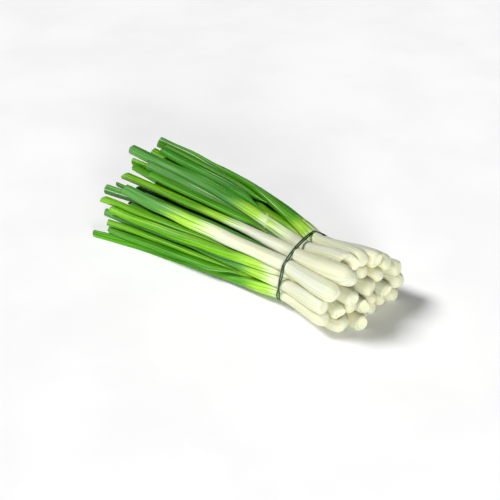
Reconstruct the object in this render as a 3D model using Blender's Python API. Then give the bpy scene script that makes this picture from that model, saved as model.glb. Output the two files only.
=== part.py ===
"""A bunch of young spring onions, tied with a doubled rubber band and lying on its side.

The bunch lies along X: the trimmed white bulbs point to +X and the cut green leaves to -X.
Each onion is one tapering stem, from its bulb to the cut end of its leading leaf. Some onions
also hold an outer leaf, which parts from the stem beyond the band. The stems and leaves are
strands that cross the same planes of constant X, so a plane holds one round section of each.
The sections are slid apart in their planes until none overlap, all of them lie on or above the
table, and the waist of the bunch is as slim as the packed shanks allow.

Run it with blender --background --python part.py, or from Blender's text editor.
"""

import math
from typing import NamedTuple

import bpy
import numpy as np

MM = 0.001

# Driving dimensions, in mm. Along is measured from the rubber band, +X to the bulbs.
STATION_STEP = 7.0  # spacing of the planes in which the sections are packed
LEAF_REACH = 217.0  # the planes run this far past the band on the leaf side
BULB_REACH = 70.0  # and this far on the bulb side
WAIST_HALF_WIDTH = 30.5
WAIST_HALF_HEIGHT = 21.0
WAIST_HEIGHT = 23.5  # the waist's centre above the table
SHANK_SHARE = 0.70  # radius of a shank where the band holds it, as a share of its bulb's
SECTION_GAP = 0.5  # least gap between sections, which leaves 0.3 mm between faceted tubes
BULB_SWELL = 46.0  # a shank swells to its bulb over this length
LEAF_FILL = 70.0  # a leaf fills out to its full width over this length
LEAF_FLARE = 1.1  # the lower, the sooner the leaves spread past the band
BULB_FLARE = 1.2  # and the same for the bulbs
BOW_POWER = 1.2  # the lower, the nearer the band a leaf's bow begins
KINK_ROUNDS = 5  # how well a path's kink at the band is rounded off
TIP_TAPER = 0.84  # radius at the cut end, as a share of the leaf's full radius
OUTER_LEAF_START_R = 1.1  # an outer leaf begins this thin, against its stem
OUTER_LEAF_OPENS = 30.0  # and fills out over this length
RING_FREE_TIP = 8.0  # a strand's mesh has no ring at a plane nearer its cut end than this
RING_FREE_BULB = 5.5  # nor nearer its bulb's end than this
# A shank's place in the waist follows the side that its bulb and its leaf's tip lie on.
BULB_FAN = ((-2.0, 30.0), (38.0, 28.0))  # middle and half size of the bulb end, across and up
LEAF_FAN = ((6.0, 22.0), (58.0, 22.0))  # and of the leaf end
BULB_SAY = 0.6  # how far the bulb decides, against the tip
FAR_LIFT = 0.45  # shanks on the far side ride this much higher in the waist, as a share of it

SIDES = 8
FLAT_DOWN = math.cos(math.pi / SIDES)  # a section's flat underside, as a share of its radius

# The cut end of a leaf is a short open tube.
MOUTH_DEPTH = 9.0
MOUTH_R = 0.70  # inner radius, as a share of the outer one

# The bulb's end: along from the end, and radius as a share of the bulb's.
BULB_END = ((3.4, 1.0), (1.1, 0.87), (0.0, 0.60))

# The rubber band is one loop, doubled, so two turns lie side by side round the waist.
BAND_WIDE = 1.2
BAND_THICK = 1.1
TURN_OFFSET = 0.85  # each turn's centre, from the plane of the waist
BAND_POINTS = 44  # per turn
BAND_CLEARANCE = 0.9  # the least gap between the band and the table
CROSSING_SHARE = 0.07  # of a turn, over which the two turns change places
CROSSING_AT = 0.97  # of a turn

# Packing. Each round smooths the strands, lets them sag, draws in the waist and parts what overlaps.
SETTLE_ROUNDS = 1500
TIDY_ROUNDS = 500  # the last rounds only part what overlaps, with little smoothing
SMOOTHING = 0.45
TIDY_SMOOTHING = 0.10
MEMORY = 0.9985  # the share of its shift that a strand keeps, so it stays near its own path
WEIGHT = 0.006  # how far the strands sag in a round
HOLD = 0.5  # how firmly the band draws in what lies outside the waist
HOLD_REACH = 7.0  # and how far along
CLEAR_ENOUGH = 0.02  # the packing ends when no two sections are nearer than the gap by more than this
CROWD_PUSH = 1.6  # a section pushed by more than two others moves by this share of their mean


class Onion(NamedTuple):
    """One onion. Places are (along, across, up) in mm."""

    bulb: tuple  # centre of the trimmed end
    bulb_r: float
    tip: tuple  # centre of the leading leaf's cut end
    leaf_r: float
    bow: float  # how far the leaf bows sideways between the band and its tip
    outer: tuple = ()  # the outer leaf, if it has one: where it parts, cut end, and radius


# Seen from the near side: the near and top rows, then the far side and underside, then the core.
ONIONS = (
    Onion((50, -11, 53), 6.4, (-221, 35, 38), 4.3, 4, (-58, (-192, 43, 40), 3.6)),
    Onion((59, -21, 41), 6.9, (-205, 12, 25), 4.1, 2, (-52, (-207, 27, 28), 4.2)),
    Onion((55, -32, 33), 6.7, (-183, -10, 25), 3.9, -1, (-46, (-172, -14, 17), 3.4)),
    Onion((54, -29, 20), 5.4, (-198, -24, 18), 4.0, 1, (-44, (-188, -19, 11), 3.4)),
    Onion((58, -27, 6), 7.0, (-181, -38, 10), 3.9, 7, (-38, (-184, -31, 5), 3.5)),
    Onion((48, -36, 16), 5.5, (-186, -46, 4), 2.9, 14, (-36, (-160, -32, 7), 3.2)),
    Onion((47, -37, 27), 5.3, (-191, -30, 11), 3.2, 6, (-40, (-174, -33, 5), 3.1)),
    Onion((56, -8, 43), 5.7, (-207, -22, 21), 5.2, 5),
    Onion((59, -15, 29), 5.8, (-208, 0, 19), 3.2, 2, (-48, (-186, -7, 11), 3.4)),
    Onion((57, -16, 17), 5.1, (-184, -22, 5), 3.2, 4, (-42, (-176, -8, 17), 3.3)),
    Onion((64, -12, 6), 5.8, (-166, -26, 9), 3.4, 2),
    Onion((54, 5, 50), 5.6, (-213, 60, 37), 4.2, 4, (-62, (-192, 51, 40), 4.0)),
    Onion((58, 15, 45), 5.5, (-210, 51, 33), 4.3, -4, (-50, (-178, 58, 30), 3.4)),
    Onion((55, 2, 40), 5.1, (-216, 27, 29), 4.2, 2, (-46, (-209, 15, 24), 4.0)),
    Onion((62, 24, 41), 5.7, (-186, 74, 28), 3.2, 5, (-50, (-172, 66, 32), 3.6)),
    Onion((65, 27, 27), 5.7, (-190, 64, 20), 4.1, 5, (-48, (-176, 70, 18), 3.4)),
    Onion((67, 34, 20), 5.7, (-182, 66, 11), 4.1, 4, (-42, (-170, 62, 13), 3.3)),
    Onion((65, 30, 8), 5.6, (-178, 60, 5), 3.9, 4, (-38, (-164, 66, 5), 3.4)),
    Onion((62, 20, 6), 5.2, (-188, 46, 6), 4.1, 3, (-46, (-176, 40, 5), 3.4)),
    Onion((60, 11, 6), 5.0, (-186, 32, 6), 4.0, 2, (-42, (-170, 48, 12), 3.4)),
    Onion((60, 1, 6), 5.0, (-184, 16, 5), 3.9, 0, (-40, (-172, 8, 5), 3.4)),
    Onion((61, 2, 30), 5.4, (-198, 18, 18), 4.2, 0, (-44, (-180, 8, 16), 3.5)),
    Onion((60, -4, 18), 5.2, (-188, -6, 5), 3.7, 0, (-40, (-174, -14, 5), 3.4)),
    Onion((62, 14, 34), 5.4, (-198, 42, 27), 4.3, 2, (-50, (-188, 34, 22), 3.5)),
    Onion((64, 20, 21), 5.2, (-192, 46, 16), 4.1, 2, (-44, (-180, 54, 13), 3.4)),
    Onion((62, 8, 18), 5.2, (-192, 30, 13), 4.0, 0, (-42, (-176, 24, 8), 3.4)),
    Onion((44, -24, 29), 4.7, (-182, -28, 18), 3.7, 0),
    Onion((45, -4, 34), 4.6, (-190, 22, 35), 4.1, 0, (-40, (-176, 14, 32), 3.4)),
    Onion((46, 19, 32), 4.6, (-184, 54, 26), 3.9, 0, (-42, (-172, 48, 28), 3.3)),
    Onion((44, -6, 22), 4.6, (-184, 2, 12), 3.8, 0, (-40, (-170, -20, 14), 3.3)),
    Onion((46, 8, 27), 4.6, (-182, 36, 19), 4.0, 0, (-40, (-168, 28, 17), 3.4)),
)

COLOURS = {  # name: (linear base colour, roughness)
    "Onion stem": ((0.42, 0.62, 0.22, 1.0), 0.42),
    "Outer leaf": ((0.10, 0.36, 0.04, 1.0), 0.40),
    "Dark green rubber": ((0.010, 0.045, 0.014, 1.0), 0.55),
}


class Strand(NamedTuple):
    """A stem or a leaf as the packing sees it: its ends, its radii and its path before packing."""

    name: str
    first: float  # along, of its -X end
    last: float  # along, of its +X end
    radius: np.ndarray  # at every plane
    path: np.ndarray  # (across, up) at every plane, not yet packed


def clear_scene():
    for obj in list(bpy.data.objects):
        bpy.data.objects.remove(obj)


def stations():
    """The planes of constant X in which sections are packed, from the leaf tips to the bulbs."""
    leaf = round(LEAF_REACH / STATION_STEP)
    bulb = round(BULB_REACH / STATION_STEP)
    return STATION_STEP * np.arange(-leaf, bulb + 1)


def smooth_step(x):
    x = np.clip(x, 0.0, 1.0)
    return x * x * (3 - 2 * x)


def hermite(u, start, end, start_slope, end_slope):
    """A cubic from start to end as u goes from 0 to 1. The slopes are per unit of u."""
    u = np.asarray(u)[:, None]
    return (
        (2 * u**3 - 3 * u**2 + 1) * start
        + (u**3 - 2 * u**2 + u) * start_slope
        + (3 * u**2 - 2 * u**3) * end
        + (u**3 - u**2) * end_slope
    )


def flared(u, flare):
    """A share from 0 to 1 that rises fast at first: a bound bunch opens most close to its band."""
    u = np.maximum(u, 0.0)[:, None]
    return u * (1 + flare) / (u + flare)


def eased(path, rounds):
    """The path with its kink at the band rounded off. Its ends stay where they are."""
    for _ in range(rounds):
        path[1:-1] = (path[:-2] + 2 * path[1:-1] + path[2:]) / 4
    return path


def waist_place(onion):
    """Where an onion passes through the band before packing."""
    bulb = (np.array(onion.bulb[1:]) - BULB_FAN[0]) / BULB_FAN[1]
    tip = (np.array(onion.tip[1:]) - LEAF_FAN[0]) / LEAF_FAN[1]
    inside = BULB_SAY * bulb + (1 - BULB_SAY) * tip
    inside[1] += FAR_LIFT * max(0.0, inside[0])
    inside /= max(1.0, np.linalg.norm(inside))
    shank_r = SHANK_SHARE * onion.bulb_r
    room = np.array((WAIST_HALF_WIDTH - shank_r, WAIST_HALF_HEIGHT - shank_r))
    return inside * room + (0.0, WAIST_HEIGHT)


def stem_strand(index, onion, along):
    """The stem of an onion: bulb, shank and leading leaf."""
    waist = waist_place(onion)
    bulb, tip = np.array(onion.bulb[1:], float), np.array(onion.tip[1:], float)
    to_tip = along / onion.tip[0]
    to_bulb = along / onion.bulb[0]
    leaf_side = waist + (tip - waist) * flared(to_tip, LEAF_FLARE)
    bulb_side = waist + (bulb - waist) * flared(to_bulb, BULB_FLARE)
    path = np.where(along[:, None] < 0, leaf_side, bulb_side)
    path[:, 0] += onion.bow * np.sin(math.pi * np.clip(to_tip, 0.0, 1.0)) ** BOW_POWER
    path = eased(path, KINK_ROUNDS)
    shank_r = SHANK_SHARE * onion.bulb_r
    swollen = shank_r + (onion.bulb_r - shank_r) * smooth_step(along / BULB_SWELL)
    filled = shank_r + (onion.leaf_r - shank_r) * smooth_step(-along / LEAF_FILL)
    filled *= 1 - (1 - TIP_TAPER) * smooth_step(2 * to_tip - 1)
    radius = np.where(along < 0, filled, swollen)
    return Strand(f"onion_{index:02d}", onion.tip[0], onion.bulb[0], radius, path)


def outer_leaf_strand(index, onion, stem, along):
    """The outer leaf of an onion, which starts thin against the stem and spreads from it."""
    parts_at, tip, leaf_r = onion.outer
    side = np.array(tip[1:]) - np.array(onion.tip[1:])
    side = side / max(np.linalg.norm(side), 1e-6)
    near = int(np.argmin(abs(along - parts_at)))
    start = stem.path[near] + side * (stem.radius[near] + OUTER_LEAF_START_R)
    slope = (stem.path[near - 1] - stem.path[near]) / STATION_STEP * (parts_at - tip[0])
    u = (parts_at - along) / (parts_at - tip[0])
    path = hermite(np.clip(u, 0.0, 1.0), start, np.array(tip[1:], float), slope, tip[1:] - start)
    opened = smooth_step((parts_at - along) / OUTER_LEAF_OPENS)
    radius = OUTER_LEAF_START_R + (leaf_r - OUTER_LEAF_START_R) * opened
    radius *= 1 - (1 - TIP_TAPER) * smooth_step(2 * u - 1)
    return Strand(f"onion_{index:02d}_outer_leaf", tip[0], parts_at, radius, path)


def all_strands(along):
    strands = []
    for index, onion in enumerate(ONIONS, start=1):
        stem = stem_strand(index, onion, along)
        strands.append(stem)
        if onion.outer:
            strands.append(outer_leaf_strand(index, onion, stem, along))
    return strands


def pushes(places, radius, there, gap):
    """How far each section moves to clear the others in its plane, and the deepest overlap."""
    apart = places[:, :, None, :] - places[:, None, :, :]
    distance = np.linalg.norm(apart, axis=-1)
    least = radius[:, :, None] + radius[:, None, :] + gap
    both = there[:, :, None] & there[:, None, :]
    both &= ~np.eye(places.shape[1], dtype=bool)
    overlap = np.where(both, np.maximum(least - distance, 0.0), 0.0)
    towards = apart / np.maximum(distance, 1e-6)[..., None]
    push = (overlap[..., None] * towards).sum(axis=2)
    touching = np.maximum((overlap > 0).sum(axis=2), 1)[..., None]
    return push * np.where(touching > 2, CROWD_PUSH / touching, 0.5), overlap.max()


def smoothed(offsets, there, share):
    """Each strand's offsets, eased towards the mean of their neighbours along it."""
    before = np.where(there[:-1], 1.0, 0.0)[..., None]
    total = np.zeros_like(offsets)
    count = np.zeros(offsets.shape[:2])[..., None]
    total[1:] += before * offsets[:-1]
    count[1:] += before
    after = np.where(there[1:], 1.0, 0.0)[..., None]
    total[:-1] += after * offsets[1:]
    count[:-1] += after
    mean = np.where(count > 0, total / np.maximum(count, 1), offsets)
    return offsets + share * (mean - offsets)


def settle(strands, along):
    """Packs the sections in every plane, and returns each strand's (across, up) at every plane."""
    rest = np.stack([s.path for s in strands], axis=1)
    radius = np.stack([s.radius for s in strands], axis=1)
    first = np.array([s.first for s in strands])
    last = np.array([s.last for s in strands])
    at = along[:, None]
    there = (at > first - STATION_STEP) & (at < last + STATION_STEP)
    waist_floor = radius + SECTION_GAP + BAND_THICK + BAND_CLEARANCE
    floor = np.where(abs(at) < 1.5 * STATION_STEP, waist_floor, radius * FLAT_DOWN)
    centre = np.array((0.0, WAIST_HEIGHT))
    room = np.array((WAIST_HALF_WIDTH, WAIST_HALF_HEIGHT)) - radius[..., None]
    held = HOLD * np.exp(-((along / HOLD_REACH) ** 2))[:, None, None]
    offsets = np.zeros_like(rest)
    for count in range(SETTLE_ROUNDS + TIDY_ROUNDS):
        tidying = count >= SETTLE_ROUNDS
        offsets = smoothed(offsets, there, TIDY_SMOOTHING if tidying else SMOOTHING)
        if not tidying:
            offsets *= MEMORY
            inside = rest + offsets - centre
            outside = np.maximum(np.linalg.norm(inside / room, axis=-1) - 1.0, 0.0)[..., None]
            offsets -= held * outside * inside
            offsets[..., 1] -= WEIGHT
        push, deepest = pushes(rest + offsets, radius, there, SECTION_GAP)
        offsets += push
        lowest = floor - rest[..., 1]
        offsets[..., 1] = np.maximum(offsets[..., 1], lowest)
        if tidying and deepest < CLEAR_ENOUGH:
            break
    return rest + offsets


def ring(x, centre, radius):
    """A section: its corners in the plane x, with a flat side down."""
    turn = 2 * math.pi * (np.arange(SIDES) + 0.5) / SIDES
    across = centre[0] + radius * np.cos(turn)
    up = centre[1] + radius * np.sin(turn)
    return np.stack([np.full(SIDES, x), across, up], axis=1)


def ring_places(strand, along):
    """Where along a strand its mesh has rings: at every second plane, and every third past the bulbs."""
    count = np.round(along / STATION_STEP)
    used = np.where(along > 0, count % 2 == 1, count % 3 == 0)
    clear_of_ends = (along > strand.first + RING_FREE_TIP) & (along < strand.last - RING_FREE_BULB)
    return along[used & clear_of_ends]


def rings_of(strand, places, along):
    """The rings of a strand's closed mesh, from its +X end round to the mouth of its leaf."""

    def centre(x):
        return np.array([np.interp(x, along, places[:, k]) for k in (0, 1)])

    def radius(x):
        return float(np.interp(x, along, strand.radius))

    rings = []
    if strand.last > 0:
        for back, share in reversed(BULB_END):
            x = strand.last - back
            rings.append(ring(x, centre(x), radius(strand.last) * share))
    else:
        rings.append(ring(strand.last, centre(strand.last), radius(strand.last)))
    for x in ring_places(strand, along)[::-1]:
        rings.append(ring(x, centre(x), radius(x)))
    for x, share in (
        (strand.first, 1.0),
        (strand.first, MOUTH_R),
        (strand.first + MOUTH_DEPTH, MOUTH_R * 0.9),
    ):
        rings.append(ring(x, centre(x), radius(strand.first) * share))
    return rings


def loft(name, rings, closed_loop=False):
    """A closed mesh through rings of equal corner counts."""
    sides = len(rings[0])
    points = np.concatenate(rings)
    faces = []
    count = len(rings)
    for i in range(count if closed_loop else count - 1):
        here, there = i * sides, (i + 1) % count * sides
        for k in range(sides):
            n = (k + 1) % sides
            faces.append((here + k, there + k, there + n, here + n))
    if not closed_loop:
        faces.append(tuple(range(sides)))
        faces.append(tuple(range((count - 1) * sides, count * sides))[::-1])
    mesh = bpy.data.meshes.new(name)
    mesh.from_pydata((points * MM).tolist(), [], faces)
    mesh.validate()
    return mesh


def add_object(name, mesh, material, sharp_degrees):
    obj = bpy.data.objects.new(name, mesh)
    bpy.context.scene.collection.objects.link(obj)
    mesh.materials.append(material)
    mesh.shade_smooth()
    mesh.set_sharp_from_angle(angle=math.radians(sharp_degrees))
    return obj


def material_named(name):
    colour, roughness = COLOURS[name]
    material = bpy.data.materials.new(name)
    material.use_nodes = True
    shader = material.node_tree.nodes["Principled BSDF"]
    shader.inputs["Base Color"].default_value = colour
    shader.inputs["Roughness"].default_value = roughness
    shader.inputs["Metallic"].default_value = 0.0
    return material


def convex_outline(points):
    """The convex hull of points in a plane, anticlockwise."""
    ordered = sorted(map(tuple, points))
    halves = []
    for run in (ordered, ordered[::-1]):
        half = []
        for p in run:
            while len(half) > 1 and np.cross(
                np.subtract(half[-1], half[-2]), np.subtract(p, half[-2])
            ) <= 0:
                half.pop()
            half.append(p)
        halves += half[:-1]
    return np.array(halves)


def band_outline(strands, places, along):
    """The taut outline of the band's centre line round the waist, evenly spaced."""
    turn = 2 * math.pi * np.arange(72) / 72
    clear = SECTION_GAP + BAND_THICK / 2
    touched = []
    for x in (-TURN_OFFSET - BAND_WIDE, TURN_OFFSET + BAND_WIDE):
        for index, strand in enumerate(strands):
            if not strand.first < x < strand.last:
                continue
            y = np.interp(x, along, places[:, index, 0])
            z = np.interp(x, along, places[:, index, 1])
            r = (np.interp(x, along, strand.radius) + clear) / math.cos(math.pi / 72)
            touched.append(np.stack([y + r * np.cos(turn), z + r * np.sin(turn)], axis=1))
    outline = convex_outline(np.concatenate(touched))
    loop = np.vstack([outline, outline[:1]])
    length = np.concatenate([[0], np.cumsum(np.linalg.norm(np.diff(loop, axis=0), axis=1))])

    def at(share):
        s = (np.asarray(share) % 1.0) * length[-1]
        return np.stack([np.interp(s, length, loop[:, k]) for k in (0, 1)], axis=-1)

    return at


def band_rings(outline):
    """Square rings along the doubled loop. Where the turns change places, one rides over the other."""
    rings = []
    middle = outline(np.linspace(0, 1, 200, endpoint=False)).mean(axis=0)
    for i in range(2 * BAND_POINTS):
        turns = i / BAND_POINTS
        share = turns % 1.0
        second = turns >= 1.0
        from_crossing = (share - CROSSING_AT + 0.5) % 1.0 - 0.5
        crossed = smooth_step(from_crossing / CROSSING_SHARE + 0.5)
        lane = (1.0 if second else -1.0) * (1 if share > CROSSING_AT - 0.5 else -1)
        side = lane * (1 - 2 * crossed)
        hump = math.cos(math.pi * min(1.0, abs(from_crossing) / CROSSING_SHARE) / 2) ** 2
        centre, ahead = outline(share), outline(share + 0.004)
        tangent = (ahead - outline(share - 0.004)) / np.linalg.norm(ahead - outline(share - 0.004))
        out = np.array((tangent[1], -tangent[0]))
        if np.dot(out, centre - middle) < 0:
            out = -out
        rise = (BAND_THICK + SECTION_GAP) * hump if lane > 0 else 0.0
        centre = centre + out * rise
        corners = []
        for wide, thick in ((-1, -1), (-1, 1), (1, 1), (1, -1)):
            place = centre + out * thick * BAND_THICK / 2
            corners.append((side * TURN_OFFSET + wide * BAND_WIDE / 2, place[0], place[1]))
        rings.append(np.array(corners))
    return rings


def stand_on_origin():
    """Moves the bunch so that the middle of its box's underside is the origin."""
    corners = [
        np.array([v.co for v in obj.data.vertices]) for obj in bpy.context.scene.objects
    ]
    points = np.concatenate(corners)
    low, high = points.min(axis=0), points.max(axis=0)
    shift = -np.array(((low[0] + high[0]) / 2, (low[1] + high[1]) / 2, low[2]))
    for obj in bpy.context.scene.objects:
        moved = np.array([v.co for v in obj.data.vertices]) + shift
        obj.data.vertices.foreach_set("co", moved.ravel())
        obj.data.update()


def main():
    clear_scene()
    along = stations()
    strands = all_strands(along)
    places = settle(strands, along)
    materials = {name: material_named(name) for name in COLOURS}
    for index, strand in enumerate(strands):
        mesh = loft(strand.name, rings_of(strand, places[:, index], along))
        kind = "Outer leaf" if strand.last < 0 else "Onion stem"
        add_object(strand.name, mesh, materials[kind], 50)
    rubber = materials["Dark green rubber"]
    outline = band_outline(strands, places, along)
    add_object("rubber_band", loft("rubber_band", band_rings(outline), True), rubber, 40)
    stand_on_origin()


if __name__ == "__main__":
    main()
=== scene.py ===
"""Looks of a tied bunch of spring onions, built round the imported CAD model.

Every stem and leaf in the frame is read back as a strand: a centreline with a thickness. Skins are
then lofted along the strands by one Geometry Nodes tree, pressed against their neighbours and the
table, and dressed in procedural finishes that follow the skin's own straightened coordinates.
"""

import logging
import math
from dataclasses import dataclass, field
from enum import Enum

import bpy
import numpy as np
from mathutils import Matrix, Vector


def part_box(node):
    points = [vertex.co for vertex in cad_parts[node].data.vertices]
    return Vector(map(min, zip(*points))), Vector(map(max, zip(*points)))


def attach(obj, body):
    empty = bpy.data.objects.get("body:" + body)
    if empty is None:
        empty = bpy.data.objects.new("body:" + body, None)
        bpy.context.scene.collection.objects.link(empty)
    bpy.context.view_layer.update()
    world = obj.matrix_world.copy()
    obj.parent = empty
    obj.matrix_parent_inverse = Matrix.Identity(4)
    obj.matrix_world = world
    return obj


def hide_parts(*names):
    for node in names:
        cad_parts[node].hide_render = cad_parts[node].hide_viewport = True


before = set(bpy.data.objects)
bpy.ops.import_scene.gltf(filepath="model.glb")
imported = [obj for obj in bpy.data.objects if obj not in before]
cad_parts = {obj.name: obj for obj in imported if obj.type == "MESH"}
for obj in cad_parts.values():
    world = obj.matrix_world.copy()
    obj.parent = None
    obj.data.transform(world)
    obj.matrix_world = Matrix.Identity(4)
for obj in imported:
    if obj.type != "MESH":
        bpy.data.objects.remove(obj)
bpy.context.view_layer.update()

log = logging.getLogger("spring_onion_bunch")

MM = 0.001
BAND_X = sum(corner[0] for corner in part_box("rubber_band")) / 2  # where the bunch is tied


class Tone(Enum):
    """The colour that a leaf has reached at its cut end."""

    WAXY = "waxy grey-green"
    BRIGHT = "bright green"
    FRESH = "fresh mid green"
    DEEP = "deep green"


class BulbEnd(Enum):
    """How the root plate was trimmed off.

    The values are the cut face's share of the bulb's radius, the length of the shoulder round it in
    radii, and the face's hollow in mm.
    """

    KNOB = (0.30, 1.00, -0.4)
    BLUNT = (0.56, 0.66, 0.0)
    CUT = (0.74, 0.36, 0.15)
    HOLLOW = (0.58, 0.60, 2.2)

    @property
    def cut_shows(self) -> float:
        """How far the cut face's colour differs from the bulb's."""
        return {BulbEnd.KNOB: 0.15, BulbEnd.BLUNT: 0.5}.get(self, 1.0)


@dataclass(frozen=True)
class Look:
    """How one onion looks. Places are mm from the band, positive towards the leaves."""

    leaf: Tone
    outer: Tone
    white_to: float  # the shank is white this far
    green_from: float  # and has its leaf colour from here on
    end: BulbEnd = BulbEnd.KNOB
    sheath_to: float = 0.0  # the torn rim of the sheath that wraps the shank, or 0 for none
    outer_white_to: float = 0.0  # the same for the outer leaf
    outer_green_from: float = 62.0
    outer_sheath_to: float = 0.0
    end_turn: tuple[float, float] = (0.0, 0.0)  # how the trimmed end leans, across and up


LOOKS: dict[int, Look] = {
    1: Look(Tone.WAXY, Tone.DEEP, 34, 96, BulbEnd.HOLLOW, sheath_to=50, end_turn=(-0.55, 0.35)),
    2: Look(Tone.BRIGHT, Tone.FRESH, 52, 118, outer_white_to=60, outer_green_from=120, outer_sheath_to=74),
    3: Look(Tone.WAXY, Tone.FRESH, 64, 146),
    4: Look(Tone.BRIGHT, Tone.DEEP, 14, 78, BulbEnd.BLUNT),
    5: Look(Tone.BRIGHT, Tone.FRESH, 2, 58, sheath_to=26),
    6: Look(Tone.FRESH, Tone.WAXY, -8, 46),
    7: Look(Tone.WAXY, Tone.FRESH, 2, 50, BulbEnd.BLUNT, outer_white_to=-30, outer_green_from=30),
    8: Look(Tone.WAXY, Tone.WAXY, -4, 34),
    9: Look(Tone.FRESH, Tone.DEEP, 2, 44, BulbEnd.BLUNT),
    10: Look(Tone.DEEP, Tone.FRESH, 4, 48),
    11: Look(Tone.BRIGHT, Tone.DEEP, 4, 48, BulbEnd.CUT, end_turn=(-0.60, 0.30)),
    12: Look(Tone.FRESH, Tone.FRESH, -10, 34),
    13: Look(Tone.BRIGHT, Tone.FRESH, -4, 40, BulbEnd.BLUNT),
    14: Look(Tone.BRIGHT, Tone.BRIGHT, -14, 40),
    15: Look(Tone.DEEP, Tone.FRESH, 8, 44, sheath_to=30),
    16: Look(Tone.FRESH, Tone.WAXY, 6, 52, BulbEnd.BLUNT),
    17: Look(Tone.BRIGHT, Tone.FRESH, 16, 70, sheath_to=34),
    18: Look(Tone.WAXY, Tone.FRESH, 8, 56),
    22: Look(Tone.WAXY, Tone.WAXY, 8, 56, BulbEnd.BLUNT),
    23: Look(Tone.BRIGHT, Tone.DEEP, 10, 60, BulbEnd.CUT, end_turn=(-0.30, 0.30)),
    25: Look(Tone.FRESH, Tone.DEEP, 10, 60, BulbEnd.CUT),
    27: Look(Tone.BRIGHT, Tone.DEEP, 4, 60),
    28: Look(Tone.WAXY, Tone.FRESH, -12, 34, BulbEnd.BLUNT),
}
SEEN = 24  # onions up to this number lie on the outside and get the finest skins


def linear(hex_colour: str) -> tuple[float, float, float, float]:
    """Turns an sRGB hex colour into linear RGBA.

    Args:
        hex_colour: Six hex digits after a hash.

    Returns:
        The linear colour with an alpha of 1.
    """
    parts = [int(hex_colour[i : i + 2], 16) / 255 for i in (1, 3, 5)]
    made = [p / 12.92 if p <= 0.04045 else ((p + 0.055) / 1.055) ** 2.4 for p in parts]
    return (*made, 1.0)


def add_node(
    tree: bpy.types.NodeTree, kind: str, inputs: dict | None = None, **settings: object
) -> bpy.types.Node:
    """Adds a node to a tree, with its settings, its values and its links.

    Args:
        tree: The tree that the node goes in.
        kind: The node's type.
        inputs: Socket name or number, and the value it holds, or the socket or node that feeds it.
        **settings: The node's own properties.

    Returns:
        The new node.
    """
    node = tree.nodes.new(kind)
    for name, value in settings.items():
        setattr(node, name, value)
    for key, value in (inputs or {}).items():
        if isinstance(value, bpy.types.Node):
            value = value.outputs[0]
        if isinstance(value, bpy.types.NodeSocket):
            tree.links.new(value, node.inputs[key])
        else:
            node.inputs[key].default_value = value
    return node


def smooth_step(x: np.ndarray | float) -> np.ndarray:
    """Eases from 0 to 1 as x does, with level ends."""
    x = np.clip(x, 0.0, 1.0)
    return x * x * (3 - 2 * x)


def through(knots: np.ndarray, values: np.ndarray, at: np.ndarray) -> np.ndarray:
    """Runs a smooth curve through values at rising knots.

    Args:
        knots: Where the values are, in rising order.
        values: One row for each knot.
        at: Where the curve is wanted. Past the ends it keeps their slope.

    Returns:
        One row for each place asked for.
    """
    slopes = np.gradient(values, knots, axis=0)
    i = np.clip(np.searchsorted(knots, at) - 1, 0, len(knots) - 2)
    gap = knots[i + 1] - knots[i]
    u = np.clip((at - knots[i]) / gap, 0.0, 1.0)
    over = at - np.clip(at, knots[0], knots[-1])
    if values.ndim > 1:
        gap, u, over = gap[:, None], u[:, None], over[:, None]
    inside = (
        (2 * u**3 - 3 * u**2 + 1) * values[i]
        + (u**3 - 2 * u**2 + u) * gap * slopes[i]
        + (3 * u**2 - 2 * u**3) * values[i + 1]
        + (u**3 - u**2) * gap * slopes[i + 1]
    )
    end_slope = np.where(at[:, None] < knots[0], slopes[0], slopes[-1]) if values.ndim > 1 else 0.0
    return inside + over * end_slope


class Strand:
    """The centreline and thickness of one stem or leaf, read from its CAD node.

    The node is a tube of rings, each in a plane of constant X. Its cut end holds a second, inner
    ring, and the open mouth there has a floor ring a little way in, which isn't part of the line.
    """

    mouth_depth = 9.0 * MM
    ring_points = 8
    bulb_rings = 2  # the last rings of a stem only round off the bulb's end
    easings = 2  # how often a leaf's line is eased towards its neighbouring points

    def __init__(self, node: bpy.types.Object) -> None:
        """Reads the rings of the node.

        Args:
            node: The CAD node's object.
        """
        points = np.unique(np.round([v.co[:] for v in node.data.vertices], 6), axis=0)
        planes = np.unique(points[:, 0])
        rings = []
        for x in planes:
            ring = points[points[:, 0] == x]
            is_floor = math.isclose(x - planes[0], self.mouth_depth, abs_tol=0.01 * MM)
            if is_floor and len(ring) == self.ring_points:
                continue
            middle = ring.mean(axis=0)
            rings.append((*middle, np.linalg.norm(ring - middle, axis=1).max()))
        rows = np.array(rings)
        self.tip_x, self.root_x = rows[0, 0], rows[-1, 0]
        self.knots = rows[:, 0]
        self.places = rows[:, 1:3].copy()
        leafy = (self.knots[1:-1] < BAND_X)[:, None]
        for _ in range(self.easings):
            between = (self.places[:-2] + 2 * self.places[1:-1] + self.places[2:]) / 4
            self.places[1:-1] = np.where(leafy, between, self.places[1:-1])
        self.radii = rows[:, 3].copy()
        if self.root_x > BAND_X:
            self.radii[-self.bulb_rings :] = self.radii[-self.bulb_rings - 1]

    def centre(self, x: np.ndarray) -> np.ndarray:
        """Gives the centreline's points at places along X."""
        return np.column_stack([x, through(self.knots, self.places, x)])

    def radius(self, x: np.ndarray) -> np.ndarray:
        """Gives the thickness at places along X."""
        return np.interp(x, self.knots, self.radii)

    def covers(self, x: np.ndarray) -> np.ndarray:
        """Says which places along X this strand reaches."""
        return (x > self.tip_x) & (x < self.root_x)


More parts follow.
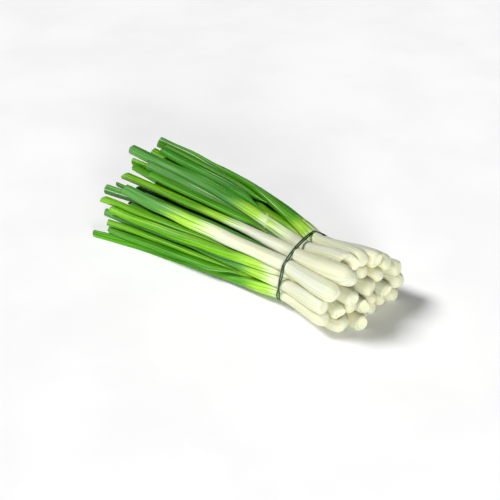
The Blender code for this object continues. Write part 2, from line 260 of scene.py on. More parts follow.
class Rings:
    """Rings for the skin tree to loft through, from a stem's root end to its cut end.

    Besides its middle and its three directions, a ring has these numbers:
    radius; lobe, the broad unevenness as a share of the radius; ridge, the height of the lengthwise
    ridges; crest, the height of a fold along one edge; ragged, how far a torn rim wanders; run, the
    distance from the band towards the leaves; ripe, 0 on a white shank and 1 on a green leaf; flesh,
    1 on a cut face; and deep, 1 inside a hollow, where shade is painted.
    """

    vectors = ("side", "rise", "ahead")
    numbers = ("radius", "lobe", "ridge", "crest", "ragged", "run", "ripe", "flesh", "deep")

    def __init__(self) -> None:
        """Starts with no rings."""
        self.parts: dict[str, list[np.ndarray]] = {
            name: [] for name in ("centre", *self.vectors, *self.numbers)
        }

    def add(self, centre: np.ndarray, directions: tuple, **values: object) -> None:
        """Adds a run of rings.

        Args:
            centre: The rings' middles, one row each.
            directions: Their side, rise and ahead directions, each one row for a ring.
            **values: Their numbers, each an array or one number for all; those left out are 0.
        """
        self.parts["centre"].append(centre)
        for name, rows in zip(self.vectors, directions):
            self.parts[name].append(rows)
        for name in self.numbers:
            self.parts[name].append(np.broadcast_to(values.get(name, 0.0), len(centre)))

    def as_object(self, name: str) -> bpy.types.Object:
        """Makes an object of one point for each ring, with the ring's values as attributes.

        Args:
            name: What the object is called.

        Returns:
            The object, which is in the scene.
        """
        whole = {key: np.concatenate(rows).astype(np.float32) for key, rows in self.parts.items()}
        mesh = bpy.data.meshes.new(name)
        mesh.from_pydata(whole["centre"].tolist(), [], [])
        for key in self.vectors:
            layer = mesh.attributes.new(key, "FLOAT_VECTOR", "POINT")
            layer.data.foreach_set("vector", whole[key].ravel())
        for key in self.numbers:
            layer = mesh.attributes.new(key, "FLOAT", "POINT")
            layer.data.foreach_set("value", whole[key])
        made = bpy.data.objects.new(name, mesh)
        bpy.context.scene.collection.objects.link(made)
        return made


@dataclass
class SkinTree:
    """The Geometry Nodes tree that lofts a closed skin through rings."""

    straight_radius: float = 4.0 * MM  # radius of the straightened strand that patterns are laid on
    lobe_size: float = 7.0 * MM
    lobe_length: float = 60.0 * MM
    ridge_size: float = 1.7 * MM
    ridge_length: float = 45.0 * MM
    tear_size: float = 1.1 * MM
    crest_power: float = 60.0  # the higher, the sharper a folded edge
    weld: float = 0.004 * MM
    tree: bpy.types.GeometryNodeTree | None = None

    def build(self) -> None:
        """Builds the tree: a flat grid is rolled up, one row to a ring."""
        tree = self.tree = bpy.data.node_groups.new("Skin through rings", "GeometryNodeTree")
        for name, kind in (
            ("Rings", "NodeSocketGeometry"),
            ("Sides", "NodeSocketInt"),
            ("Squareness", "NodeSocketFloat"),
            ("Seed", "NodeSocketFloat"),
            ("Finish", "NodeSocketMaterial"),
        ):
            tree.interface.new_socket(name, in_out="INPUT", socket_type=kind)
        tree.interface.new_socket("Skin", in_out="OUTPUT", socket_type="NodeSocketGeometry")
        given = add_node(tree, "NodeGroupInput").outputs
        count = add_node(tree, "GeometryNodeAttributeDomainSize", {0: given["Rings"]}).outputs["Point Count"]
        columns = add_node(tree, "ShaderNodeMath", {0: given["Sides"], 1: 1.0})
        grid = add_node(
            tree,
            "GeometryNodeMeshGrid",
            {"Size X": 1.0, "Size Y": 1.0, "Vertices X": count, "Vertices Y": columns},
        )
        flat = add_node(tree, "ShaderNodeSeparateXYZ", {0: add_node(tree, "GeometryNodeInputPosition")})
        rolled = {0: flat.outputs["Y"], 1: 2 * math.pi, 2: math.pi}
        half_turn = add_node(tree, "ShaderNodeMath", rolled, operation="MULTIPLY_ADD")
        cosine = add_node(tree, "ShaderNodeMath", {0: half_turn}, operation="COSINE")
        sine = add_node(tree, "ShaderNodeMath", {0: half_turn}, operation="SINE")
        ring = self.ring_values(flat.outputs["X"], given["Rings"], count)
        laid = add_node(tree, "ShaderNodeCombineXYZ", {0: cosine, 1: sine})
        straight = add_node(
            tree, "ShaderNodeVectorMath", {0: laid, "Scale": self.straight_radius}, operation="SCALE"
        )
        along = add_node(tree, "ShaderNodeCombineXYZ", {2: ring["run"]})
        straight = add_node(tree, "ShaderNodeVectorMath", {0: straight, 1: along})
        radius = self.rough_radius(cosine, sine, straight, ring, given)
        tear = self.grain(straight, given["Seed"], self.tear_size, self.lobe_length)
        place = ring["centre"]
        for direction, share, amount in (
            ("side", cosine, radius),
            ("rise", sine, radius),
            ("ahead", tear, ring["ragged"]),
        ):
            reach = add_node(tree, "ShaderNodeMath", {0: share, 1: amount}, operation="MULTIPLY")
            step = {0: ring[direction], "Scale": reach}
            step = add_node(tree, "ShaderNodeVectorMath", step, operation="SCALE")
            place = add_node(tree, "ShaderNodeVectorMath", {0: place, 1: step})
        self.finish(grid, place, {"straight": straight, **ring}, given["Finish"])

    def ring_values(
        self, flat_x: bpy.types.NodeSocket, rings: bpy.types.NodeSocket, count: bpy.types.NodeSocket
    ) -> dict[str, bpy.types.Node]:
        """Gives each point of the grid the values of its own ring.

        Args:
            flat_x: Places along the flat grid, from -0.5 to 0.5.
            rings: The geometry that holds one point for each ring.
            count: How many rings there are.

        Returns:
            The node that holds each value, by the value's name.
        """
        tree = self.tree
        share = add_node(tree, "ShaderNodeMath", {0: flat_x, 1: 0.5})
        last = add_node(tree, "ShaderNodeMath", {0: count, 1: 1.0}, operation="SUBTRACT")
        row = add_node(tree, "ShaderNodeMath", {0: share, 1: last}, operation="MULTIPLY")
        row = add_node(tree, "ShaderNodeMath", {0: row}, operation="ROUND")
        kinds = {"position": "FLOAT_VECTOR"}
        kinds.update({name: "FLOAT_VECTOR" for name in Rings.vectors})
        kinds.update({name: "FLOAT" for name in Rings.numbers})
        values = {}
        for name, kind in kinds.items():
            own = add_node(tree, "GeometryNodeInputNamedAttribute", {"Name": name}, data_type=kind)
            inputs = {"Geometry": rings, "Value": own.outputs["Attribute"], "Index": row}
            values[name] = add_node(tree, "GeometryNodeSampleIndex", inputs, data_type=kind)
        values["centre"] = values.pop("position")
        return values

    def rough_radius(
        self,
        cosine: bpy.types.Node,
        sine: bpy.types.Node,
        straight: bpy.types.Node,
        ring: dict[str, bpy.types.Node],
        given: bpy.types.NodeOutputs,
    ) -> bpy.types.Node:
        """Gives each point its distance from the ring's middle: the outline, its lobes and its ridges.

        Args:
            cosine: The cosine of each point's turn round the ring.
            sine: Its sine.
            straight: Its place on the straightened strand.
            ring: The ring's values.
            given: The tree's inputs.

        Returns:
            The node that holds the distance.
        """
        tree = self.tree
        power = given["Squareness"]
        raised = []
        for part in (cosine, sine):
            size = add_node(tree, "ShaderNodeMath", {0: part}, operation="ABSOLUTE")
            raised.append(add_node(tree, "ShaderNodeMath", {0: size, 1: power}, operation="POWER"))
        total = add_node(tree, "ShaderNodeMath", {0: raised[0], 1: raised[1]})
        inverse = add_node(tree, "ShaderNodeMath", {0: -1.0, 1: power}, operation="DIVIDE")
        outline = add_node(tree, "ShaderNodeMath", {0: total, 1: inverse}, operation="POWER")
        lobe = self.grain(straight, given["Seed"], self.lobe_size, self.lobe_length)
        uneven = {0: lobe, 1: ring["lobe"], 2: 1.0}
        uneven = add_node(tree, "ShaderNodeMath", uneven, operation="MULTIPLY_ADD")
        radius = add_node(tree, "ShaderNodeMath", {0: outline, 1: uneven}, operation="MULTIPLY")
        radius = add_node(tree, "ShaderNodeMath", {0: radius, 1: ring["radius"]}, operation="MULTIPLY")
        front = add_node(tree, "ShaderNodeMath", {0: cosine, 1: 0.0}, operation="MAXIMUM")
        edge = add_node(tree, "ShaderNodeMath", {0: front, 1: self.crest_power}, operation="POWER")
        ridge = self.grain(straight, given["Seed"], self.ridge_size, self.ridge_length)
        for share, height in ((ridge, ring["ridge"]), (edge, ring["crest"])):
            inputs = {0: share, 1: height, 2: radius}
            radius = add_node(tree, "ShaderNodeMath", inputs, operation="MULTIPLY_ADD")
        return radius

    def grain(
        self, straight: bpy.types.Node, seed: bpy.types.NodeSocket, size: float, length: float
    ) -> bpy.types.Node:
        """Gives unevenness from -1 to 1, drawn out along the strand.

        Args:
            straight: Places on the straightened strand.
            seed: A number that sets this strand apart.
            size: The grain across the strand.
            length: The grain along it.

        Returns:
            The node that holds the unevenness.
        """
        squash = {0: straight, 1: (1.0, 1.0, size / length)}
        squashed = add_node(self.tree, "ShaderNodeVectorMath", squash, operation="MULTIPLY")
        inputs = {"Vector": squashed, "W": seed, "Scale": 1 / size, "Detail": 1.0}
        texture = add_node(self.tree, "ShaderNodeTexNoise", inputs, noise_dimensions="4D")
        return add_node(self.tree, "ShaderNodeMath", {0: texture, 1: 4.0, 2: -2.0}, operation="MULTIPLY_ADD")

    def finish(
        self,
        grid: bpy.types.Node,
        place: bpy.types.Node,
        values: dict[str, bpy.types.Node],
        material: bpy.types.NodeSocket,
    ) -> None:
        """Rolls up the grid, closes its seam, and stores what the finishes read.

        Args:
            grid: The flat grid.
            place: Where each of its points goes.
            values: The values to store, by name, among others.
            material: The skin's finish.
        """
        tree = self.tree
        skin = grid.outputs["Mesh"]
        for name in ("straight", "ripe", "flesh", "deep"):
            kind = "FLOAT_VECTOR" if name == "straight" else "FLOAT"
            inputs = {"Geometry": skin, "Name": name, "Value": values[name]}
            skin = add_node(tree, "GeometryNodeStoreNamedAttribute", inputs, data_type=kind)
        skin = add_node(tree, "GeometryNodeSetPosition", {"Geometry": skin, "Position": place})
        skin = add_node(tree, "GeometryNodeMergeByDistance", {"Geometry": skin, "Distance": self.weld})
        skin = add_node(tree, "GeometryNodeSetShadeSmooth", {"Geometry": skin})
        skin = add_node(tree, "GeometryNodeRealizeInstances", {"Geometry": skin})
        skin = add_node(tree, "GeometryNodeSetMaterial", {"Geometry": skin, "Material": material})
        add_node(tree, "NodeGroupOutput", {0: skin})

    def skin(self, rings: Rings, name: str, finish: bpy.types.Material, **inputs: float) -> bpy.types.Object:
        """Lofts a skin and makes it a plain mesh.

        Args:
            rings: The rings it runs through.
            name: The piece's name.
            finish: Its material.
            **inputs: The tree's other inputs by name.

        Returns:
            The finished piece.
        """
        piece = rings.as_object(name)
        modifier = piece.modifiers.new("Skin", "NODES")
        modifier.node_group = self.tree
        sockets = {
            item.name: item.identifier
            for item in self.tree.interface.items_tree
            if item.in_out == "INPUT"
        }
        for key, value in {"Finish": finish, **inputs}.items():
            modifier[sockets[key]] = value
        graph = bpy.context.evaluated_depsgraph_get()
        made = bpy.data.meshes.new_from_object(
            piece.evaluated_get(graph), preserve_all_data_layers=True, depsgraph=graph
        )
        piece.modifiers.remove(modifier)
        points = piece.data
        piece.data = made
        bpy.data.meshes.remove(points)
        made.name = name
        return piece


@dataclass
class Crowd:
    """All the stems and leaves together, which press on each other and on the table."""

    members: dict[str, "Stem"] = field(default_factory=dict)
    plump: float = 0.28 * MM  # each skin is this much fuller than its CAD strand
    squeeze: float = 0.95 * MM  # and this much more at the band
    squeeze_reach: float = 34.0 * MM
    bulb_plump: float = 0.75 * MM  # and this much more in the bulbs
    bulb_from: float = 9.0 * MM  # where they begin, past the band
    bulb_over: float = 30.0 * MM
    give: float = 0.55  # share of an overlap that each of two neighbours gives way
    most_overlap: float = 3.0 * MM
    crease_reach: float = 2.0 * MM  # painted crease shade marks the skin this near to a neighbour
    crease_fill: float = 1.5  # and is at its darkest with this many neighbours
    shelter_reach: float = 5.0 * MM  # and the same for the broader painted shade where neighbours shelter it
    shelter_fill: float = 3.0

    def fullness(self, x: np.ndarray) -> np.ndarray:
        """Gives how much fuller than its strand a skin is at places along X.

        Args:
            x: Places along X, m.

        Returns:
            How much fuller at each place, m.
        """
        near_band = np.exp(-(((x - BAND_X) / self.squeeze_reach) ** 2))
        in_bulb = smooth_step((x - BAND_X - self.bulb_from) / self.bulb_over)
        return self.plump + self.squeeze * near_band + self.bulb_plump * in_bulb

    def settle(self, piece: bpy.types.Object, own: str) -> None:
        """Presses a skin against its neighbours and the table, and marks its creases and shelter for painted
        shade.

        Args:
            piece: The skin.
            own: The strand that it covers.
        """
        mesh = piece.data
        points = np.empty(len(mesh.vertices) * 3, np.float32)
        mesh.vertices.foreach_get("co", points)
        points = points.reshape(-1, 3).astype(np.float64)
        crease = np.zeros(len(points))
        shelter = np.zeros(len(points))
        shift = np.zeros((len(points), 2))
        own_root = own.replace("_outer_leaf", "")
        for name, other in self.members.items():
            if name == own or name.replace("_outer_leaf", "") == own_root:
                continue
            near = np.flatnonzero(other.strand.covers(points[:, 0]))
            if not len(near):
                continue
            x = points[near, 0]
            apart = points[near, 1:] - other.middle(x)[:, 1:]
            distance = np.maximum(np.linalg.norm(apart, axis=1), 1e-6)
            gap = distance - other.reach(x, apart)
            crease[near] += smooth_step(1 - gap / self.crease_reach) / self.crease_fill
            shelter[near] += smooth_step(1 - gap / self.shelter_reach) / self.shelter_fill
            inside = np.clip(gap, -self.most_overlap, 0.0)
            shift[near] -= (self.give * inside / distance)[:, None] * apart
        points[:, 1:] += shift
        points[:, 2] = np.maximum(points[:, 2], 0.0)
        mesh.vertices.foreach_set("co", points.astype(np.float32).ravel())
        for key, values in (("crease", crease), ("shelter", shelter)):
            layer = mesh.attributes.new(key, "FLOAT", "POINT")
            layer.data.foreach_set("value", np.clip(values, 0.0, 1.0).astype(np.float32))
        mesh.update()


def lay_over(
    tree: bpy.types.NodeTree,
    first: object,
    second: object,
    guide: object,
    low: float = 0.0,
    high: float = 1.0,
    most: float = 1.0,
) -> bpy.types.NodeSocket:
    """Lays one colour over another where a guide value is high.

    Args:
        tree: The material's tree.
        first: The hex colour, or its socket, where the guide is low.
        second: The hex colour, or its socket, where the guide is high.
        guide: The node or socket that decides.
        low: The guide's value where the second colour begins.
        high: The value where it has come in fully.
        most: The most of the second colour that shows.

    Returns:
        The socket that holds the colour.
    """
    reach = {"Value": guide, "From Min": low, "From Max": high, "To Max": most}
    share = add_node(tree, "ShaderNodeMapRange", reach, interpolation_type="SMOOTHSTEP")
    colours = [linear(c) if isinstance(c, str) else c for c in (first, second)]
    mix = add_node(tree, "ShaderNodeMix", {0: share, 6: colours[0], 7: colours[1]}, data_type="RGBA")
    return mix.outputs[2]


@dataclass(frozen=True)
class OnionSkin:
    """Living onion tissue: white flesh at the root, leaf green at the tip.

    The skin is smooth cuticle over a translucent flesh, so it has a soft satin gloss, and light
    spreads a little under it. Fine veins run its whole length. Wax bloom greys and dulls it.
    """

    name: str
    dark: str  # leaf colour over the veins
    lit: str  # and between them
    bloom: str  # wax bloom's colour
    bloom_share: float
    roughness: float
    young: str = "#9CCB3C"  # where the leaf colour begins
    pale: str = "#CDE0AA"
    white: str = "#CED0BF"
    cream: str = "#D0CEAD"  # warmer patches in the white
    greyed: str = "#B2BF98"  # and faint grey-green streaks
    flesh: str = "#DDDFBC"  # cut faces
    crease_shade: str = "#D0C888"  # painted shade in the creases between the bulbs and inside hollows, olive-yellow as light comes through the flesh
    shelter_shade: str = "#CBC98C"  # painted shade where the shanks shelter each other
    shade: str = "#0A4402"  # in the creases between the leaves
    vein_line: str = "#2E6A10"
    painted_highlight: str = "#DDEBC4"  # painted highlight: thin pale lines along the leaf
    vein: float = 0.42 * MM  # drawn twice as coarse as real veins, to show
    vein_length: float = 34.0 * MM
    streak: float = 1.15 * MM
    streak_length: float = 80.0 * MM
    # grain of the painted highlight lines, across and along the leaf
    line: float = 0.95 * MM
    line_length: float = 110.0 * MM
    bloom_size: float = 6.0 * MM
    bloom_length: float = 80.0 * MM

    def material(self) -> bpy.types.Material:
        """Makes the material.

        Returns:
            The material, which reads the skin's own attributes.
        """
        made = bpy.data.materials.new(self.name)
        made.use_nodes = True
        tree = made.node_tree
        shader = tree.nodes["Principled BSDF"]
        veins = self.along_skin(tree, self.vein, self.vein_length, 1.0)
        streaks = self.along_skin(tree, self.streak, self.streak_length, 2.0)
        patches = self.along_skin(tree, self.bloom_size, self.bloom_length, 2.0)
        lines = self.along_skin(tree, self.line, self.line_length, 0.0)
        colour = self.length_colour(tree, veins, streaks, patches)
        # painted highlight lines along the leaf
        colour = self.paint_highlight_lines(tree, colour, lines)
        # painted shade in the creases, the shelter and the hollows; cut faces get their flesh colour
        colour = self.creased(tree, colour)
        tree.links.new(colour, shader.inputs["Base Color"])
        dulling = {"Value": patches, "From Min": 0.3, "From Max": 0.7}
        dulling.update({"To Min": self.roughness - 0.06, "To Max": self.roughness + 0.10})
        dull = add_node(tree, "ShaderNodeMapRange", dulling)
        tree.links.new(dull.outputs[0], shader.inputs["Roughness"])
        bump = add_node(tree, "ShaderNodeBump", {"Height": veins, "Distance": 0.10 * MM, "Strength": 0.35})
        tree.links.new(bump.outputs[0], shader.inputs["Normal"])
        shader.inputs["IOR"].default_value = 1.40
        shader.inputs["Specular IOR Level"].default_value = 0.30
        shader.inputs["Subsurface Weight"].default_value = 0.30
        shader.inputs["Subsurface Radius"].default_value = (1.0, 0.95, 0.35)
        shader.inputs["Subsurface Scale"].default_value = 1.8 * MM
        return made

    def along_skin(
        self, tree: bpy.types.NodeTree, size: float, length: float, detail: float
    ) -> bpy.types.Node:
        """Gives noise from 0 to 1 on the skin's own coordinates, drawn out along the strand.

        Args:
            tree: The material's tree.
            size: The grain across the strand.
            length: The grain along it.
            detail: How many finer layers the noise has.

        Returns:
            The node that holds the noise.
        """
        straight = add_node(tree, "ShaderNodeAttribute", attribute_name="straight").outputs["Vector"]
        squash = {0: straight, 1: (1.0, 1.0, size / length)}
        squashed = add_node(tree, "ShaderNodeVectorMath", squash, operation="MULTIPLY")
        return add_node(tree, "ShaderNodeTexNoise", {"Vector": squashed, "Scale": 1 / size, "Detail": detail})

    def length_colour(
        self,
        tree: bpy.types.NodeTree,
        veins: bpy.types.Node,
        streaks: bpy.types.Node,
        patches: bpy.types.Node,
    ) -> bpy.types.NodeSocket:
        """Gives the colour along the strand: white, pale, young green and leaf green, in stripes.

        Args:
            tree: The material's tree.
            veins: Fine lengthwise noise.
            streaks: Coarser lengthwise noise.
            patches: Broad noise, for the wax bloom.

        Returns:
            The socket that holds the colour.
        """
        ripe = add_node(tree, "ShaderNodeAttribute", attribute_name="ripe").outputs["Fac"]
        changing = {"Value": ripe, "From Min": 0.0, "From Max": 0.10}
        changing = add_node(tree, "ShaderNodeMapRange", changing)
        uneven = add_node(tree, "ShaderNodeMath", {0: streaks, 1: 0.9, 2: -0.45}, operation="MULTIPLY_ADD")
        ripe = add_node(tree, "ShaderNodeMath", {0: uneven, 1: changing, 2: ripe}, operation="MULTIPLY_ADD")
        leaf = lay_over(tree, self.dark, self.lit, streaks, 0.36, 0.62)
        leaf = lay_over(tree, leaf, self.bloom, patches, 0.36, 0.66, self.bloom_share)
        leaf = lay_over(tree, leaf, self.dark, veins, 0.48, 0.34, 0.55)
        colour = lay_over(tree, self.white, self.cream, patches, 0.40, 0.64, 0.70)
        colour = lay_over(tree, colour, self.greyed, streaks, 0.48, 0.66, 0.60)
        colour = lay_over(tree, colour, self.cream, veins, 0.50, 0.66, 0.50)
        colour = lay_over(tree, colour, self.pale, ripe, 0.02, 0.22)
        colour = lay_over(tree, colour, self.young, ripe, 0.18, 0.44)
        colour = lay_over(tree, colour, self.vein_line, self.striped(tree, streaks, ripe), 0.0, 1.0, 0.60)
        return lay_over(tree, colour, leaf, ripe, 0.50, 0.92)

    def striped(
        self, tree: bpy.types.NodeTree, streaks: bpy.types.Node, ripe: bpy.types.Node
    ) -> bpy.types.Node:
        """Says where green stripes run down from the leaf into the paler shank.

        Args:
            tree: The material's tree.
            streaks: Lengthwise noise.
            ripe: How far towards its leaf colour the skin is.

        Returns:
            The node that holds how green each place is, from 0 to 1.
        """
        stripe = add_node(tree, "ShaderNodeMapRange", {"Value": streaks, "From Min": 0.54, "From Max": 0.64})
        coming = add_node(tree, "ShaderNodeMapRange", {"Value": ripe, "From Min": 0.04, "From Max": 0.30})
        return add_node(tree, "ShaderNodeMath", {0: stripe, 1: coming}, operation="MULTIPLY")

    def paint_highlight_lines(
        self, tree: bpy.types.NodeTree, colour: bpy.types.NodeSocket, lines: bpy.types.Node
    ) -> bpy.types.NodeSocket:
        """Paints thin pale highlight lines along the leaf.

        Args:
            tree: The material's tree.
            colour: The skin's colour between them.
            lines: Lengthwise noise, which is highest along the lines.

        Returns:
            The socket that holds the colour.
        """
        ripe = add_node(tree, "ShaderNodeAttribute", attribute_name="ripe").outputs["Fac"]
        strength = add_node(tree, "ShaderNodeMapRange", {"Value": lines, "From Min": 0.70, "From Max": 0.78})
        share = add_node(tree, "ShaderNodeMath", {0: ripe, 1: strength}, operation="MULTIPLY")
        return lay_over(tree, colour, self.painted_highlight, share, 0.0, 1.0, 0.75)

    def creased(self, tree: bpy.types.NodeTree, colour: bpy.types.NodeSocket) -> bpy.types.NodeSocket:
        """Paints shade into the creases and shelter between strands and inside hollows, and dresses cut
        faces.

        Args:
            tree: The material's tree.
            colour: The skin's colour in the open.

        Returns:
            The socket that holds the colour.
        """
        crease = add_node(tree, "ShaderNodeAttribute", attribute_name="crease").outputs["Fac"]
        flesh = add_node(tree, "ShaderNodeAttribute", attribute_name="flesh").outputs["Fac"]
        deep = add_node(tree, "ShaderNodeAttribute", attribute_name="deep").outputs["Fac"]
        straight = add_node(tree, "ShaderNodeAttribute", attribute_name="straight").outputs["Vector"]
        run = add_node(tree, "ShaderNodeSeparateXYZ", {0: straight}).outputs["Z"]
        # painted crease shade: olive-yellow near the bulbs, dark green towards the leaves
        crease_shade = lay_over(tree, self.crease_shade, self.shade, run, -26 * MM, 22 * MM)
        # painted shade where strands shelter each other
        painted_shelter_shade = lay_over(tree, self.shelter_shade, self.shade, run, -6 * MM, 40 * MM)
        shelter = add_node(tree, "ShaderNodeAttribute", attribute_name="shelter").outputs["Fac"]
        colour = lay_over(tree, colour, painted_shelter_shade, shelter, 0.15, 0.95, 0.70)
        colour = lay_over(tree, colour, crease_shade, crease, 0.16, 1.0, 0.80)
        colour = lay_over(tree, colour, self.flesh, flesh)
        # painted shade inside hollows
        return lay_over(tree, colour, crease_shade, deep)


@dataclass(frozen=True)
class BandRubber:
    """Dark green rubber, moulded and a little chalky from handling, with a dull sheen."""

    colour: str = "#07391A"
    worn: str = "#4F8560"
    grain: float = 0.35 * MM
    roughness: float = 0.46

    def material(self) -> bpy.types.Material:
        """Makes the material.

        Returns:
            The material, which reads the band's own attributes.
        """
        made = bpy.data.materials.new("Dark green rubber")
        made.use_nodes = True
        tree = made.node_tree
        shader = tree.nodes["Principled BSDF"]
        straight = add_node(tree, "ShaderNodeAttribute", attribute_name="straight").outputs["Vector"]
        fine = {"Vector": straight, "Scale": 1 / self.grain, "Detail": 3.0}
        grain = add_node(tree, "ShaderNodeTexNoise", fine)
        coarse = {"Vector": straight, "Scale": 0.1 / self.grain, "Detail": 3.0}
        scuffs = add_node(tree, "ShaderNodeTexNoise", coarse)
        colour = lay_over(tree, self.colour, self.worn, scuffs, 0.50, 0.75, 0.45)
        tree.links.new(colour, shader.inputs["Base Color"])
        bump = add_node(tree, "ShaderNodeBump", {"Height": grain, "Distance": 0.05 * MM, "Strength": 0.3})
        tree.links.new(bump.outputs[0], shader.inputs["Normal"])
        shader.inputs["Roughness"].default_value = self.roughness
        shader.inputs["IOR"].default_value = 1.52
        return made


SKINS = {
    Tone.WAXY: OnionSkin("Onion leaf, waxy grey-green", "#2D711B", "#549436", "#679E5A", 0.62, 0.56),
    Tone.BRIGHT: OnionSkin("Onion leaf, bright green", "#327F00", "#7FBA11", "#5E9E1F", 0.25, 0.46),
    Tone.FRESH: OnionSkin("Onion leaf, fresh green", "#236D02", "#5AA111", "#5B9938", 0.35, 0.46),
    Tone.DEEP: OnionSkin("Onion leaf, deep green", "#115302", "#3A880A", "#4B8E32", 0.28, 0.46),
}


@dataclass
class Stem:
    """An onion's stem: bulb, shank and leading leaf in one skin, hollow where the leaf is cut."""

    strand: Strand
    look: Look
    crowd: Crowd
    draw: np.random.Generator
    step: float = 1.9 * MM
    wall: float = 0.55 * MM
    rim_rounding: float = 0.14 * MM
    mouth: float = 13.0 * MM
    leaf_lobe: float = 0.075
    shank_lobe: float = 0.045
    sway: float = 0.8 * MM  # how far a bulb's end usually turns aside
    sway_over: float = 20.0 * MM
    knobs: tuple[float, float] = (-0.12, 0.14)  # how much thinner or thicker its end may be
    knob_over: float = 16.0 * MM
    leaf_ridge: float = 0.11 * MM
    fold: float = 0.30 * MM  # the most that a leaf's folded edge stands proud
    pinches: tuple[float, float] = (0.12, 0.42)  # the least and most that a leaf is pressed flat
    widens: tuple[float, float] = (0.06, 0.46)  # and how much wider that makes it
    lie: float = 0.5  # how far from level, in radians, a leaf's wide way usually is
    twisting: float = 3.5  # how much that usually turns in a metre
    tip_lean: float = 0.45  # the most that a leaf's cut leans, as a slope
    tip_lean_over: float = 12.0 * MM
    root_lean: float = 0.30  # the same for a bulb's trimmed end, besides its look's own lean
    most_wander: float = 0.5 * MM
    wander_up: float = 0.6  # its share upwards
    swell: float = 0.05
    wave_turns: tuple[float, float] = (62.0, 131.0)  # a long and a short wave, in radians a metre
    wave_shares: tuple[float, float] = (0.6, 0.4)
    leaf_over: float = 90.0 * MM  # a shank turns into a leaf over this length
    aim: float = 1.5 * MM  # a ring faces along the line between points this far on each side
    root_rings: tuple[float, ...] = (0.0, 0.14, 0.28, 0.42, 0.56, 0.70, 0.84, 0.95, 1.0)
    layer_step: float = 0.10 * MM  # the layers of a cut bulb stand this far proud or sunk, at most
    shoulder_rings: int = 10
    mouth_rings: int = 8
    mouth_taper: float = 0.25
    body_from: float = field(init=False)

    def __post_init__(self) -> None:
        """Draws the strand's own shape."""
        draw = self.draw
        self.pinch = draw.uniform(*self.pinches)
        self.widening = draw.uniform(*self.widens)
        self.turn = draw.normal(0, self.lie)
        self.twist = draw.normal(0, self.twisting)
        self.crest = self.fold * draw.uniform(0.0, 1.0) ** 2
        self.cut_slant = draw.uniform(-self.tip_lean, self.tip_lean, 2)
        self.root_slant = draw.uniform(-self.root_lean, self.root_lean, 2) + self.look.end_turn
        self.aside = draw.normal(0, self.sway, 2)
        self.waves = draw.uniform(0, 2 * math.pi, (3, 2))
        self.body_from = self.strand.root_x
        self.knobbly = draw.uniform(*self.knobs)

    def leafiness(self, x: np.ndarray) -> np.ndarray:
        """Gives 0 on the bulb and shank and 1 well along the leaf."""
        return smooth_step((BAND_X - x) / self.leaf_over)

    def wave(self, x: np.ndarray, which: int) -> np.ndarray:
        """Gives one of this strand's own slow waves, from -1 to 1, at places along X."""
        made = zip(self.wave_shares, self.wave_turns, self.waves[which])
        return sum(share * np.sin(x * turns + start) for share, turns, start in made)

    def middle(self, x: np.ndarray) -> np.ndarray:
        """Gives the skin's centreline, which wanders a little from the CAD's.

        Args:
            x: Places along X, m.

        Returns:
            One point for each place.
        """
        line = self.strand.centre(x)
        wander = self.most_wander * self.leafiness(x)
        line[:, 1] += wander * self.wave(x, 0)
        line[:, 2] += self.wander_up * wander * self.wave(x, 1)
        turned = smooth_step(1 - (self.strand.root_x - x) / self.sway_over)
        line[:, 1:] += turned[:, None] * self.aside
        return line

    def radius(self, x: np.ndarray) -> np.ndarray:
        """Gives the skin's radius at places along X.

        Args:
            x: Places along X, m.

        Returns:
            The radius at each place, m.
        """
        uneven = 1 + self.swell * self.leafiness(x) * self.wave(x, 2)
        knob = smooth_step(1 - (self.strand.root_x - x) / self.knob_over)
        return self.strand.radius(x) * (uneven + self.knobbly * knob) + self.crowd.fullness(x)

    def reach(self, x: np.ndarray, apart: np.ndarray) -> np.ndarray:
        """Gives how far the skin stands from its middle, towards places beside it.

        Args:
            x: The places along X.
            apart: How far each lies from the middle, across and up.

        Returns:
            The skin's distance from its middle on each place's side.
        """
        leafy = self.leafiness(x)
        turn = self.turn + self.twist * (BAND_X - x)
        wide = apart[:, 0] * np.cos(turn) + apart[:, 1] * np.sin(turn)
        thin = apart[:, 1] * np.cos(turn) - apart[:, 0] * np.sin(turn)
        pressed = np.hypot(wide / (1 + self.widening * leafy), thin / (1 - self.pinch * leafy))
        return self.radius(x) * np.hypot(wide, thin) / np.maximum(pressed, 1e-6)

    def ripeness(self, x: np.ndarray) -> np.ndarray:
        """Gives how far towards its leaf colour the skin is at places along X."""
        white_to, green_from = self.greens()
        return np.clip(((BAND_X - x) / MM - white_to) / (green_from - white_to), 0.0, 1.0)

    def greens(self) -> tuple[float, float]:
        """Gives how far the skin is white and from where it has its leaf colour, in mm."""
        return self.look.white_to, self.look.green_from

    def add(
        self, made: Rings, x: np.ndarray, radius: np.ndarray, slant: np.ndarray, **values: object
    ) -> None:
        """Adds rings at places along X.

        Args:
            made: The rings so far.
            x: The places.
            radius: The rings' radii.
            slant: How each leans ahead, across and up, or one lean for all.
            **values: Their other numbers.
        """
        ahead = self.middle(x - self.aim) - self.middle(x + self.aim)
        ahead /= np.linalg.norm(ahead, axis=1)[:, None]
        side = np.cross(ahead, (0.0, 0.0, 1.0))
        side /= np.linalg.norm(side, axis=1)[:, None]
        rise = np.cross(side, ahead)
        lean = np.broadcast_to(slant, (len(x), 2))
        side, rise = side + lean[:, :1] * ahead, rise + lean[:, 1:] * ahead
        leafy = self.leafiness(x)[:, None]
        turn = (self.turn + self.twist * (BAND_X - x))[:, None]
        wide = np.cos(turn) * side + np.sin(turn) * rise
        thin = np.cos(turn) * rise - np.sin(turn) * side
        made.add(
            self.middle(x),
            (wide * (1 + self.widening * leafy), thin * (1 - self.pinch * leafy), ahead),
            radius=radius,
            run=BAND_X - x,
            **{"ripe": self.ripeness(x), **values},
        )

    def rings(self) -> Rings:
        """Makes the skin's rings, from the trimmed bulb to the floor of the leaf's open mouth.

        Returns:
            The rings, in order.
        """
        made = Rings()
        self.add_root(made)
        self.add_length(made)
        self.add_mouth(made)
        return made

